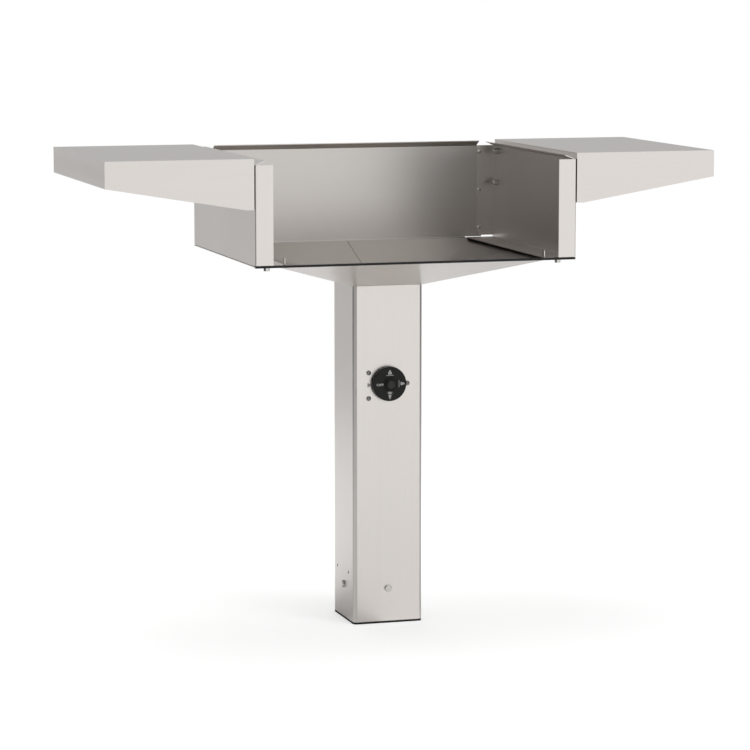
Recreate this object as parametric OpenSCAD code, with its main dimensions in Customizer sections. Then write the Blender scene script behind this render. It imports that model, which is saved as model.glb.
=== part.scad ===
// Pedestal for a drop-in gas grill head: post, funnel, three-sided cradle and two side shelves.
// Millimetres. Z is up, X runs to the right, the open front of the cradle faces -Y.
// The origin is on the ground, on the axis of the post.

/* [Post] */
// Outside width of the square post
post_side = 138; // [132:1:146]
// Sheet thickness of the post
post_wall = 2; // [1.5:0.1:2.5]
// Outside radius of the post's four bends
post_bend = 8; // [6:0.5:10]
// Length of the post tube
post_len = 652; // [600:1:720]
// Thickness of the rubber pad under the post
pad_t = 4; // [3:0.5:6]
// Thickness of the ring plate in the top of the post
ring_t = 5; // [4:0.5:8]
// Radius of the service hole through the ring plate and the funnel foot
service_r = 44; // [40:0.5:45]

/* [Base socket] */
// Sheet thickness of the socket that the post slides over
socket_t = 4; // [3:0.5:5]
// Height of the socket's walls
socket_h = 86; // [80:1:110]
// Distance between neighbouring ground bolt holes
ground_pitch = 84; // [78:1:88]
// Radius of the ground bolt holes
ground_hole_r = 5.5; // [4.5:0.5:6]
// Height of the four post bolts above the ground
base_bolt_z = 68; // [60:1:74]
// Height of the two drain holes above the ground
drain_z = 96.5; // [94:0.5:110]
// Distance between the two drain holes
drain_pitch = 75; // [60:1:80]
// Radius of the drain holes
drain_r = 2.8; // [1.5:0.1:3.5]
// Distance of the drain holes' midpoint behind the post axis
drain_back = 5; // [0:0.5:8]

/* [Funnel] */
// Sheet thickness of the funnel
funnel_sheet = 1.5; // [1.2:0.1:2]
// Height of the rim above the funnel foot
funnel_drop = 59.5; // [50:0.5:75]
// Width of the rim beside the opening
rim_side = 40; // [36:1:50]
// Width of the rim in front of the opening
rim_front = 14; // [12:1:20]
// Width of the rim behind the opening
rim_rear = 8; // [6:0.5:12]
// Distance from the post axis to the lower edge of the rear slope
throat_rear = 39; // [36:1:44]
// Thickness of the black edge trim's walls
trim_t = 1.2; // [0.8:0.1:1.2]
// Depth of the black edge trim
trim_d = 8; // [6:0.5:9]

/* [Cradle] */
// Width over the two side panels
cradle_w = 620.4; // [590:0.2:650]
// Distance from the post axis to the front of the cradle
cradle_front = 256; // [240:1:280]
// Distance from the post axis to the back of the side panels
cradle_rear = 217; // [205:1:240]
// Sheet thickness of the three panels
panel_sheet = 1.5; // [1.2:0.1:2]
// Height of the side panels below their lips
panel_h = 185.3; // [170:0.1:210]
// Outside radius of the panels' bends
panel_bend = 2; // [2:0.1:3]
// Width of the front flange
front_flange = 34; // [30:0.5:38]
// Width of the rear flange
rear_flange = 36; // [33:0.5:38]
// Width of the bottom flange
bottom_flange = 59; // [54:0.5:62]
// Reach of the sloping top lips over the cradle
lip_run = 20; // [14:0.5:24]
// Rise of the side panels' sloping top lips
lip_rise = 8; // [5:0.5:9]
// Rise of the rear panel's sloping top lip
rear_lip_rise = 10.5; // [6:0.5:12]
// Height of the small locating tab
tab_h = 13; // [10:0.5:20]
// Length of the small locating tab
tab_len = 12; // [8:0.5:20]

/* [Side shelves] */
// Length of a shelf, inner end to outer end
shelf_len = 276.5; // [240:0.5:300]
// Height of a shelf at its inner end
shelf_inner_h = 93.2; // [88:0.1:100]
// Height of a shelf at its outer end
shelf_outer_h = 49.3; // [40:0.1:60]
// Level stretch of the lower edge at the inner end
shelf_flat = 14.8; // [10:0.1:25]
// Rise of the shelf top above the side panels
shelf_above = 11.7; // [10:0.1:14]
// Sheet thickness of the shelves
shelf_sheet = 1.5; // [1.2:0.1:2]
// Width of the hems under the shelf's skirts
shelf_hem = 15; // [10:1:22]
// Gap between a shelf and its side panel
shelf_gap = 1.5; // [1:0.1:3]

/* [Knob and valve] */
// Distance of the knob axis below the top of the post
knob_drop = 188.5; // [140:0.5:240]
// Radius of the knob disc
knob_r = 33.2; // [30:0.1:34]
// Thickness of the knob disc
knob_t = 8; // [6:0.5:12]
// Gap between the knob disc and the post
knob_gap = 4; // [3.5:0.1:6]
// Radius of the knob's raised hub
hub_r = 10.5; // [8:0.5:14]
// Reach of the raised hub in front of the disc
hub_h = 10; // [8:0.5:18]
// Radius of the hub's front face
hub_face_r = 7.8; // [7:0.1:8]
// Radius of the valve stem
stem_r = 4; // [3:0.1:4.5]
// Radius of the valve body
valve_r = 18; // [16:0.5:20]
// Radius of the gas pipes
pipe_r = 6.35; // [5:0.05:7]

/* [Hidden] */
$fn = 48;

// Overrun of every cut past the face that it opens
cut = 1;
// Clearance round a screw or pipe in its hole
hole_gap = 0.3;
// Clearance between a thread and its nut
thread_gap = 0.1;
// Clearance between welded or seated pieces
seat_gap = 0.1;
// Running clearance of the stem, on the radius
run_gap = 0.05;

// Levels, from the ground up
post_z = pad_t;
post_top = post_z + post_len;
foot_z = post_top + funnel_sheet;
rim_z = foot_z + funnel_drop;
floor_z = rim_z + panel_sheet;
web_z = rim_z + panel_h;
shelf_z = web_z + shelf_above;
knob_z = post_top - knob_drop;

// Length over which a bend and the wall that it runs into share their metal
lap = 4;

// Half widths and faces
post_half = post_side / 2;
post_in = post_half - post_wall;
cradle_half = cradle_w / 2;
back_y = cradle_rear + panel_sheet;
web_in = cradle_half - panel_sheet;
shelf_in = cradle_half + shelf_gap;
shelf_out = shelf_in + shelf_len;
shelf_rear_gap = 2;
shelf_depth = cradle_front + cradle_rear - shelf_rear_gap;

// Post bolts and their nuts
base_bolt_r = 4;
base_head_r = 7;
base_head_h = 4;
base_head_edge = 1.5;
base_bolt_len = 16;
base_nut_r = 7.5;
base_nut_t = 5;
socket_fit = 0.4;
socket_half = post_in - socket_fit;
socket_in = socket_half - socket_t;
grommet_r = 14;
grommet_hole_r = 11.5;
grommet_bore_r = 8;
grommet_lip = 2;

// Small screws of the cover and the valve bracket
small_r = 2.5;
small_head_r = 4.75;
small_head_h = 2.8;
small_socket_share = 0.36;
small_nut_r = 4.6;
small_nut_t = 4;

// Rear access opening and its cover
access_w = 80;
access_h = 140;
cover_lap = 12;
cover_sheet = 1.5;
cover_r = 6;
cover_screw_len = 8;
cover_screw_in = 6;

// Bolts of the funnel foot
foot_bolt_in = 19;
foot_bolt_rear_in = 11;
foot_bolt_at = post_in - foot_bolt_in;
foot_bolt_y = [-foot_bolt_at, throat_rear - foot_bolt_rear_in];
service_y = -8;
foot_bolt_r = 4;
foot_head_r = 7;
foot_head_t = 5;
foot_bolt_len = 18;
foot_nut_t = 6.5;

// Seam groove down the middle of the funnel's rear face
seam_w = 2.2;
seam_d = 0.8;

// Studs welded under the side panels, and the rim that they pass through
rim_stud_in = 27.2;
rim_stud_front_in = 24;
rim_stud_rear_in = 9;
rim_stud_x = cradle_half - rim_stud_in;
rim_stud_front = cradle_front - rim_stud_front_in;
rim_stud_rear = cradle_rear - rim_stud_rear_in;
rim_stud_r = 3;
rim_nut_r = 5.7;
rim_nut_t = 8.5;
rim_stud_tip = 0.5;
rim_stud_len = funnel_sheet + rim_nut_t + rim_stud_tip;

// Ends of the panels' flanges
corner_gap = 2.5;
lip_front_gap = 5;
lip_rear_gap = 9;
flange_chamfer = 6;
flange_chamfer_h = 15;
rear_lap = 10;
rear_floor = 8;
rear_floor_gap = 2;
lip_inset = 1.3;
rear_screw_in = 4.2;
rear_screw_low = 20;
rear_screw_drop = 13.3;
rear_screw_high = panel_h - rear_screw_drop;
rear_screw_z = [rear_screw_low, (rear_screw_low + rear_screw_high) / 2, rear_screw_high];
rear_screw_r = 2;
rear_screw_head_r = 4;
rear_screw_head_h = 2;
rear_screw_len = 7;

// Bolts between the shelves and the side panels
shelf_bolt_front_in = 31;
shelf_bolt_rear_in = 30;
shelf_bolt_y = [shelf_bolt_front_in - cradle_front, cradle_rear - shelf_bolt_rear_in];
shelf_bolt_high = 22;
shelf_bolt_low = 8.2;
shelf_bolt_drop = [shelf_bolt_high, shelf_inner_h - shelf_bolt_low];
shelf_bolt_r = 3;
shelf_bolt_head_r = 5.7;
shelf_bolt_head_t = 4;
shelf_bolt_reach = 8;
spacer_r = 8;
cap_nut_r = 5.7;
cap_nut_t = 6;
cap_dome_r = 4.7;
cap_bore = 9.5;

// Valve and its bracket, with Y measured from the post's front face
bracket_t = 2.5;
bracket_side_gap = 20;
bracket_half = post_in - bracket_side_gap;
bracket_up = 33;
bracket_down = 36;
bracket_screw_x = [-39, -39, 38.2];
bracket_screw_z = [21.5, -28, -1];
bracket_screw_len = 11;
front_y = -post_half;
bracket_y = front_y + post_wall;
valve_y = bracket_y + bracket_t;
valve_len = 36;
bush_r = 9;
bush_flange_r = 10.8;
bush_flange_t = 3;
chamber_r = 11;
chamber_d = 20;
stem_out = 19;
stem_in = 22;
stem_tip_gap = 5;
washer_r = 8.5;
washer_t = 2;
port_y = -40;
port_r = 9.5;
port_len = 30;
port_seat = 10;
pipe_wall = 1;
side_flat = 19;
side_flat_h = 16;
side_flat_d = 22;
igniter_r = 8;
igniter_len = 28;
igniter_foot = 3;
knob_edge_r = 2;
knob_bore_d = 6;
hub_foot = 1.2;
spring_wire_r = 0.7;
spring_turns = 5;
spring_r = 6.2;
spring_sides = 6;
spring_steps = 20;

// Gas line ends
inlet_end_z = 46;
union_r = 12;
union_t = 22;
union_seat = 10;
union_stop = 1;
union_gap = 0.25;
outlet_rise = 10.5;
outlet_end_z = foot_z + outlet_rise;
outlet_thread_r = 8;
outlet_thread_len = 14;
outlet_nut_t = 12;

// Outline helpers

module rounded_square(w, d, r) {
    square([w - 2 * r, d], center = true);
    square([w, d - 2 * r], center = true);
    for (x = [-1, 1], y = [-1, 1])
        translate([x * (w / 2 - r), y * (d / 2 - r)]) circle(r);
}

// A block from low corner to high corner
module block(low, high) {
    translate(low) cube(high - low);
}

// Disc with a rounded front edge, standing on z = 0
module rounded_disc(r, t, edge) {
    rotate_extrude() {
        square([r - edge, t]);
        square([r, t - edge]);
        translate([r - edge, t - edge]) circle(edge);
    }
}

// Flat head with a rounded edge on top of z = 0, with its shank below
module flat_bolt(shank_r, shank_len, head_r, head_h, edge) {
    rounded_disc(head_r, head_h, edge);
    translate([0, 0, -shank_len]) cylinder(r = shank_r, h = shank_len);
}

// Dome head with a hexagon socket on top of z = 0, with its shank below
module socket_screw(shank_r, shank_len, head_r, head_h) {
    dome_r = (head_r * head_r + head_h * head_h) / (2 * head_h);
    difference() {
        intersection() {
            translate([0, 0, head_h - dome_r]) sphere(dome_r);
            cylinder(r = head_r, h = head_h);
        }
        translate([0, 0, head_h / 2]) cylinder(r = head_r * small_socket_share, h = head_h, $fn = 6);
    }
    translate([0, 0, -shank_len]) cylinder(r = shank_r, h = shank_len);
}

// Hexagon head on top of z = 0, with its shank below
module hex_bolt(shank_r, shank_len, head_r, head_t) {
    cylinder(r = head_r, h = head_t, $fn = 6);
    translate([0, 0, -shank_len]) cylinder(r = shank_r, h = shank_len);
}

module hex_nut(bore_r, nut_r, nut_t) {
    difference() {
        cylinder(r = nut_r, h = nut_t, $fn = 6);
        translate([0, 0, -cut]) cylinder(r = bore_r, h = nut_t + 2 * cut);
    }
}

// Quarter ring of bent sheet, from the +X direction to the +Y direction
module bend_outline(r, t) {
    intersection() {
        difference() {
            circle(r);
            circle(r - t);
        }
        square(r);
    }
}

// Puts its children on the four faces of the post, with their Z axis pointing outwards
module on_post_faces(z) {
    for (turn = [0 : 90 : 270])
        rotate([0, 0, turn]) translate([0, front_y, z]) rotate([90, 0, 0]) children();
}

// Puts its children on the knob axis with their Z axis pointing at the user
module on_knob_axis(y) {
    translate([0, y, knob_z]) rotate([90, 0, 0]) children();
}

// Base

module ground_holes(t) {
    for (x = [-1, 1], y = [-1, 1])
        translate([x * ground_pitch / 2, y * ground_pitch / 2, -cut])
            cylinder(r = ground_hole_r, h = t + 2 * cut);
}

module base_gasket() {
    color([0.08, 0.08, 0.08])
    difference() {
        linear_extrude(pad_t) rounded_square(post_side, post_side, post_bend);
        ground_holes(pad_t);
        translate([0, port_y, -cut]) cylinder(r = grommet_r + hole_gap, h = pad_t + 2 * cut);
    }
}

module base_socket() {
    bend = post_bend - post_wall - socket_fit;
    color([0.6, 0.6, 0.58])
    translate([0, 0, post_z])
    difference() {
        linear_extrude(socket_h) rounded_square(2 * socket_half, 2 * socket_half, bend);
        translate([0, 0, socket_t])
            linear_extrude(socket_h) square(2 * socket_in, center = true);
        ground_holes(socket_t);
        translate([0, port_y, -cut]) cylinder(r = grommet_hole_r, h = socket_t + 2 * cut);
        translate([0, 0, -post_z]) on_post_faces(base_bolt_z)
            translate([0, 0, -base_bolt_len]) cylinder(r = base_bolt_r + hole_gap, h = base_bolt_len);
    }
}

module base_grommet() {
    color([0.1, 0.1, 0.1])
    translate([0, port_y, post_z])
    difference() {
        union() {
            translate([0, 0, -grommet_lip]) cylinder(r = grommet_r, h = grommet_lip - seat_gap);
            translate([0, 0, -grommet_lip])
                cylinder(r = grommet_hole_r - seat_gap, h = socket_t + 2 * grommet_lip);
            translate([0, 0, socket_t + seat_gap]) cylinder(r = grommet_r, h = grommet_lip);
        }
        translate([0, 0, -grommet_lip - cut])
            cylinder(r = grommet_bore_r, h = socket_t + 3 * grommet_lip + 2 * cut);
    }
}

// Post

module access_outline(grow, r) {
    translate([0, knob_z]) rounded_square(access_w + 2 * grow, access_h + 2 * grow, r);
}

module cover_screw_places() {
    x = access_w / 2 + cover_screw_in;
    z = access_h / 2 + cover_screw_in;
    for (i = [-1, 1], k = [-1, 1])
        translate([i * x, post_half + cover_sheet, knob_z + k * z]) rotate([-90, 0, 0]) children();
}

module bracket_screw_places(y) {
    for (i = [0 : len(bracket_screw_x) - 1])
        translate([bracket_screw_x[i], y, knob_z + bracket_screw_z[i]]) rotate([90, 0, 0]) children();
}

module post() {
    color([0.85, 0.83, 0.81])
    difference() {
        translate([0, 0, post_z]) linear_extrude(post_len) difference() {
            rounded_square(post_side, post_side, post_bend);
            rounded_square(2 * post_in, 2 * post_in, post_bend - post_wall);
        }
        on_post_faces(base_bolt_z)
            translate([0, 0, -base_bolt_len]) cylinder(r = base_bolt_r + hole_gap, h = base_bolt_len + cut);
        on_knob_axis(bracket_y + cut) cylinder(r = bush_r + hole_gap, h = post_wall + 2 * cut);
        bracket_screw_places(bracket_y + cut)
            cylinder(r = small_r + hole_gap, h = post_wall + 2 * cut);
        for (side = [-1, 1])
            translate([-post_half - cut, drain_back + side * drain_pitch / 2, drain_z]) rotate([0, 90, 0])
                cylinder(r = drain_r, h = post_wall + 2 * cut);
        translate([0, post_half + cut, 0]) rotate([90, 0, 0])
            linear_extrude(post_wall + 2 * cut) access_outline(0, cover_r);
        cover_screw_places()
            translate([0, 0, -cover_screw_len]) cylinder(r = small_r + hole_gap, h = cover_screw_len);
    }
}

module post_base_bolts() {
    color([0.75, 0.74, 0.72])
    on_post_faces(base_bolt_z)
        flat_bolt(base_bolt_r, base_bolt_len, base_head_r, base_head_h, base_head_edge);
}

module post_base_nuts() {
    color([0.6, 0.6, 0.6])
    on_post_faces(base_bolt_z)
        translate([0, 0, socket_in - post_half - base_nut_t - seat_gap])
            hex_nut(base_bolt_r + thread_gap, base_nut_r, base_nut_t);
}

module foot_bolt_places(z) {
    for (x = [-1, 1], y = foot_bolt_y)
        translate([x * foot_bolt_at, y, z]) children();
}

module service_hole(z, h) {
    translate([0, service_y, z - cut]) cylinder(r = service_r, h = h + 2 * cut);
}

module post_top_frame() {
    half = post_in - seat_gap;
    color([0.6, 0.6, 0.58])
    difference() {
        translate([0, 0, post_top - ring_t]) linear_extrude(ring_t)
            rounded_square(2 * half, 2 * half, post_bend - post_wall - seat_gap);
        service_hole(post_top - ring_t, ring_t);
        foot_bolt_places(post_top - ring_t - cut)
            cylinder(r = foot_bolt_r + hole_gap, h = ring_t + 2 * cut);
    }
}

module rear_access_cover() {
    color([0.85, 0.83, 0.81])
    difference() {
        translate([0, post_half + cover_sheet, 0]) rotate([90, 0, 0])
            linear_extrude(cover_sheet) access_outline(cover_lap, cover_r);
        cover_screw_places()
            translate([0, 0, -cover_screw_len]) cylinder(r = small_r + hole_gap, h = cover_screw_len + cut);
    }
}

module access_cover_screws() {
    color([0.7, 0.7, 0.7])
    cover_screw_places() socket_screw(small_r, cover_screw_len, small_head_r, small_head_h);
}

// Funnel

// Corners of the funnel at a height above its foot. The rear slope starts inside the post outline.
function funnel_corners(h) =
    let (
        share = h / funnel_drop,
        x = post_half + (cradle_half - rim_side - post_half) * share,
        front = post_half + (cradle_front - trim_t - rim_front - post_half) * share,
        rear = throat_rear + (back_y - rim_rear - throat_rear) * share
    )
    [[-x, -front, h], [x, -front, h], [x, rear, h], [-x, rear, h]];

module pyramid(low, high) {
    polyhedron(
        points = concat(funnel_corners(low), funnel_corners(high)),
        faces = [[0, 1, 2, 3], [7, 6, 5, 4], [4, 5, 1, 0], [5, 6, 2, 1], [6, 7, 3, 2], [7, 4, 0, 3]]
    );
}

module rim_stud_places(z) {
    for (x = [-rim_stud_x, rim_stud_x], y = [-rim_stud_front, rim_stud_rear])
        translate([x, y, z]) children();
}

module seam_groove() {
    run = back_y - rim_rear - throat_rear;
    translate([0, throat_rear, foot_z]) rotate([atan2(funnel_drop, run), 0, 0])
        translate([-seam_w / 2, 0, -seam_d])
            cube([seam_w, norm([run, funnel_drop]), seam_d + cut]);
}

module funnel() {
    under_rim = rim_z - funnel_sheet;
    color([0.8, 0.78, 0.76])
    difference() {
        union() {
            translate([0, 0, post_top]) pyramid(0, funnel_drop);
            block([-post_half, -post_half, post_top], [post_half, post_half, foot_z]);
            block([-cradle_half, trim_t - cradle_front, under_rim], [cradle_half, back_y, rim_z]);
        }
        translate([0, 0, foot_z]) pyramid(0, funnel_drop + cut);
        service_hole(post_top, funnel_sheet);
        foot_bolt_places(post_top - cut)
            cylinder(r = foot_bolt_r + hole_gap, h = funnel_sheet + 2 * cut);
        rim_stud_places(rim_z - funnel_sheet - cut)
            cylinder(r = rim_stud_r + hole_gap, h = funnel_sheet + 2 * cut);
        seam_groove();
    }
}

module funnel_bolts() {
    color([0.7, 0.7, 0.7])
    foot_bolt_places(foot_z) hex_bolt(foot_bolt_r, foot_bolt_len, foot_head_r, foot_head_t);
}

module funnel_nuts() {
    color([0.7, 0.7, 0.7])
    foot_bolt_places(post_top - ring_t - foot_nut_t)
        hex_nut(foot_bolt_r + thread_gap, foot_head_r, foot_nut_t);
}

module front_edge_trim() {
    color([0.07, 0.07, 0.07])
    difference() {
        block([-cradle_half, -cradle_front, rim_z - funnel_sheet - trim_t],
            [cradle_half, trim_d - cradle_front, rim_z + trim_t]);
        block([-cradle_half - cut, trim_t - cradle_front, rim_z - funnel_sheet],
            [cradle_half + cut, trim_d + cut - cradle_front, rim_z]);
    }
}

// Cradle panels

// Plan outline of a right side panel's web with its front and rear flanges
module panel_outline() {
    r = panel_bend;
    t = panel_sheet;
    translate([web_in, r - cradle_front]) square([t, cradle_front + cradle_rear - 2 * r]);
    translate([cradle_half - front_flange, -cradle_front]) square([front_flange - r, t]);
    translate([cradle_half - rear_flange, cradle_rear - t]) square([rear_flange - r, t]);
    translate([cradle_half - r, r - cradle_front]) rotate(-90) bend_outline(r, t);
    translate([cradle_half - r, cradle_rear - r]) bend_outline(r, t);
}

// Section of the bottom flange and its bend, drawn in X and Z
module floor_outline() {
    r = panel_bend;
    translate([cradle_half - bottom_flange, rim_z]) square([bottom_flange - r, panel_sheet]);
    translate([cradle_half - r, rim_z + r]) rotate(-90) bend_outline(r, panel_sheet);
    translate([web_in, rim_z + r]) square([panel_sheet, lap]);
}

// Section of a sloping lip, from the outer face inwards and upwards
function lip_points(face, rise) =
    let (
        slope = atan2(rise, lip_run),
        drop = panel_sheet / cos(slope)
    )
    [
        [face, web_z],
        [face - lip_run, web_z + rise],
        [face - lip_run, web_z + rise - drop],
        [face - panel_sheet, web_z - drop + panel_sheet * rise / lip_run],
        [face - panel_sheet, web_z - lap],
        [face, web_z - lap]
    ];

module side_panel_right() {
    front = lip_front_gap - cradle_front;
    rear = cradle_rear - lip_rear_gap;
    floor_front = trim_d + corner_gap - cradle_front;
    floor_rear = cradle_rear - panel_bend - corner_gap;
    tab_x = cradle_half - bottom_flange;
    difference() {
        union() {
            translate([0, 0, rim_z + panel_bend])
                linear_extrude(panel_h - panel_bend) panel_outline();
            translate([0, floor_rear, 0]) rotate([90, 0, 0])
                linear_extrude(floor_rear - floor_front) floor_outline();
            translate([0, rear, 0]) rotate([90, 0, 0])
                linear_extrude(rear - front) polygon(lip_points(cradle_half, lip_rise));
            block([tab_x, floor_front, rim_z],
                [tab_x + panel_sheet, floor_front + tab_len, floor_z + tab_h]);
        }
        shelf_bolt_places(web_in - cut)
            cylinder(r = shelf_bolt_r + hole_gap, h = panel_sheet + 2 * cut);
        rear_screw_places(cradle_rear - panel_sheet - cut)
            cylinder(r = rear_screw_r + hole_gap, h = panel_sheet + 2 * cut);
        translate([0, cradle_rear + cut, 0]) rotate([90, 0, 0])
            linear_extrude(panel_sheet + 2 * cut) polygon([
                [cradle_half - rear_flange - cut, rim_z],
                [cradle_half - rear_flange + flange_chamfer, rim_z + panel_bend],
                [cradle_half - rear_flange, rim_z + panel_bend + flange_chamfer_h],
                [cradle_half - rear_flange - cut, rim_z + panel_bend + flange_chamfer_h]
            ]);
        translate([0, cradle_rear + cut, 0]) rotate([90, 0, 0])
            linear_extrude(panel_sheet + 2 * cut)
                translate([cradle_half - rear_flange - cut, rim_z])
                    square([rear_flange + cut - panel_bend, panel_bend + corner_gap]);
    }
}

// Z axis of the children points away from the cradle along +X
module shelf_bolt_places(x) {
    for (y = shelf_bolt_y, drop = shelf_bolt_drop)
        translate([x, y, shelf_z - drop]) rotate([0, 90, 0]) children();
}

// Z axis of the children points to the back
module rear_screw_places(y) {
    x = cradle_half - rear_flange + rear_screw_in;
    for (z = rear_screw_z)
        translate([x, y, rim_z + z]) rotate([-90, 0, 0]) children();
}

module both_sides() {
    children();
    mirror([1, 0, 0]) children();
}

module left_side_panel() {
    color([0.72, 0.71, 0.69]) mirror([1, 0, 0]) side_panel_right();
}

module right_side_panel() {
    color([0.72, 0.71, 0.69]) side_panel_right();
}

module rear_panel() {
    half = cradle_half - rear_flange + rear_lap;
    lip_half = cradle_half - rear_flange - lip_inset;
    floor_half = cradle_half - bottom_flange - rear_floor_gap;
    r = panel_bend;
    color([0.7, 0.69, 0.67])
    difference() {
        union() {
            block([-half, cradle_rear, rim_z + r], [half, back_y, web_z]);
            translate([-lip_half, 0, 0]) rotate([90, 0, 90])
                linear_extrude(2 * lip_half) polygon(lip_points(back_y, rear_lip_rise));
            translate([-floor_half, 0, 0]) rotate([90, 0, 90]) linear_extrude(2 * floor_half) {
                translate([back_y - r, rim_z + r]) rotate(-90) bend_outline(r, panel_sheet);
                translate([cradle_rear, rim_z + r]) square([panel_sheet, lap]);
                translate([back_y - rear_floor, rim_z]) square([rear_floor - r, panel_sheet]);
            }
        }
        both_sides() rear_screw_places(cradle_rear - cut)
            cylinder(r = rear_screw_r + hole_gap, h = panel_sheet + 2 * cut);
    }
}

module rear_panel_screws() {
    color([0.6, 0.6, 0.6])
    both_sides() rear_screw_places(cradle_rear - panel_sheet) mirror([0, 0, 1])
        socket_screw(rear_screw_r, rear_screw_len, rear_screw_head_r, rear_screw_head_h);
}

module cradle_studs() {
    color([0.7, 0.7, 0.7])
    rim_stud_places(rim_z - rim_stud_len) cylinder(r = rim_stud_r, h = rim_stud_len);
}

module cradle_nuts() {
    color([0.6, 0.6, 0.6])
    rim_stud_places(rim_z - funnel_sheet - rim_nut_t)
        hex_nut(rim_stud_r + thread_gap, rim_nut_r, rim_nut_t);
}

// Side shelves

// Front view of a right shelf, drawn in X and Z, with its walls thinned by the given amount
function shelf_low(x) =
    let (
        bend_x = shelf_in + shelf_flat,
        slope = (shelf_inner_h - shelf_outer_h) / (shelf_out - bend_x)
    )
    shelf_z - shelf_inner_h + slope * max(0, x - bend_x);

module shelf_outline(inset, below) {
    bend_x = shelf_in + shelf_flat;
    polygon([
        [shelf_in + inset, shelf_z - inset],
        [shelf_out - inset, shelf_z - inset],
        [shelf_out - inset, shelf_low(shelf_out - inset) - below],
        [bend_x, shelf_low(bend_x) - below],
        [shelf_in + inset, shelf_low(bend_x) - below]
    ]);
}

// Strip that follows the lower edge, one sheet thick
module shelf_edge_outline() {
    bend_x = shelf_in + shelf_flat;
    polygon([
        [shelf_in, shelf_low(shelf_in) + shelf_sheet],
        [bend_x, shelf_low(bend_x) + shelf_sheet],
        [shelf_out, shelf_low(shelf_out) + shelf_sheet],
        [shelf_out, shelf_low(shelf_out)],
        [bend_x, shelf_low(bend_x)],
        [shelf_in, shelf_low(shelf_in)]
    ]);
}

module along_depth(front, depth) {
    translate([0, front + depth, 0]) rotate([90, 0, 0]) linear_extrude(depth) children();
}

module shelf_right() {
    front = -cradle_front;
    t = shelf_sheet;
    difference() {
        union() {
            difference() {
                along_depth(front, shelf_depth) shelf_outline(0, 0);
                along_depth(front + t, shelf_depth - 2 * t) shelf_outline(t, 2 * t);
            }
            along_depth(front, shelf_hem) shelf_edge_outline();
            along_depth(front + shelf_depth - shelf_hem, shelf_hem) shelf_edge_outline();
        }
        shelf_bolt_places(shelf_in - cut)
            cylinder(r = shelf_bolt_r + hole_gap, h = t + 2 * cut);
    }
}

module left_shelf() {
    color([0.78, 0.77, 0.75]) mirror([1, 0, 0]) shelf_right();
}

module right_shelf() {
    color([0.78, 0.77, 0.75]) shelf_right();
}

module shelf_spacers() {
    color([0.1, 0.1, 0.1])
    both_sides() shelf_bolt_places(cradle_half) difference() {
        cylinder(r = spacer_r, h = shelf_gap);
        translate([0, 0, -cut]) cylinder(r = shelf_bolt_r + hole_gap, h = shelf_gap + 2 * cut);
    }
}

module shelf_bolts() {
    color([0.7, 0.7, 0.7])
    both_sides() shelf_bolt_places(shelf_in + shelf_sheet)
        hex_bolt(shelf_bolt_r, shelf_gap + shelf_sheet + panel_sheet + shelf_bolt_reach,
            shelf_bolt_head_r, shelf_bolt_head_t);
}

module shelf_cap_nuts() {
    color([0.7, 0.7, 0.7])
    both_sides() shelf_bolt_places(web_in) mirror([0, 0, 1]) difference() {
        union() {
            cylinder(r = cap_nut_r, h = cap_nut_t, $fn = 6);
            translate([0, 0, cap_nut_t]) cylinder(r = cap_dome_r, h = shelf_bolt_reach - cap_nut_t);
            translate([0, 0, shelf_bolt_reach]) sphere(cap_dome_r);
        }
        translate([0, 0, -cut]) cylinder(r = shelf_bolt_r + thread_gap, h = cap_bore + cut);
    }
}

// Knob and valve

module valve_bracket() {
    color([0.65, 0.65, 0.63])
    difference() {
        block([-bracket_half, bracket_y, knob_z - bracket_down],
            [bracket_half, valve_y, knob_z + bracket_up]);
        on_knob_axis(valve_y + cut) cylinder(r = bush_r + hole_gap, h = bracket_t + 2 * cut);
        bracket_screw_places(valve_y + cut)
            cylinder(r = small_r + hole_gap, h = bracket_t + 2 * cut);
    }
}

module valve_bracket_screws() {
    color([0.35, 0.35, 0.35])
    bracket_screw_places(front_y)
        socket_screw(small_r, bracket_screw_len, small_head_r, small_head_h);
}

module valve_bracket_nuts() {
    color([0.6, 0.6, 0.6])
    bracket_screw_places(valve_y + small_nut_t) hex_nut(small_r + thread_gap, small_nut_r, small_nut_t);
}

module valve_body() {
    rear_y = valve_y + valve_len;
    color([0.75, 0.62, 0.3])
    difference() {
        union() {
            on_knob_axis(rear_y) cylinder(r = valve_r, h = valve_len);
            translate([0, port_y, knob_z - port_len]) cylinder(r = port_r, h = 2 * port_len);
            block([0, rear_y - side_flat_d, knob_z - side_flat_h / 2],
                [side_flat, rear_y, knob_z + side_flat_h / 2]);
        }
        on_knob_axis(valve_y + chamber_d) cylinder(r = chamber_r, h = chamber_d + cut);
        on_knob_axis(valve_y + stem_in + stem_tip_gap)
            cylinder(r = stem_r + run_gap, h = stem_in + stem_tip_gap);
        for (end = [-1, 1])
            translate([0, port_y, knob_z + end * (port_len - port_seat / 2)])
                cylinder(r = pipe_r + seat_gap, h = port_seat + cut, center = true);
        translate([0, port_y, knob_z - port_len]) cylinder(r = pipe_r - pipe_wall, h = 2 * port_len);
    }
}

module valve_bush() {
    color([0.78, 0.66, 0.35])
    difference() {
        union() {
            on_knob_axis(valve_y + bush_flange_t) cylinder(r = bush_flange_r, h = bush_flange_t);
            on_knob_axis(valve_y) cylinder(r = bush_r, h = bracket_t + post_wall);
        }
        on_knob_axis(valve_y + bush_flange_t + cut)
            cylinder(r = stem_r + run_gap, h = bush_flange_t + bracket_t + post_wall + 2 * cut);
    }
}

module thrust_washer() {
    color([0.6, 0.6, 0.6])
    on_knob_axis(valve_y + bush_flange_t + seat_gap + washer_t) difference() {
        cylinder(r = washer_r, h = washer_t);
        translate([0, 0, -cut]) cylinder(r = stem_r + run_gap, h = washer_t + 2 * cut);
    }
}

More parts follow.
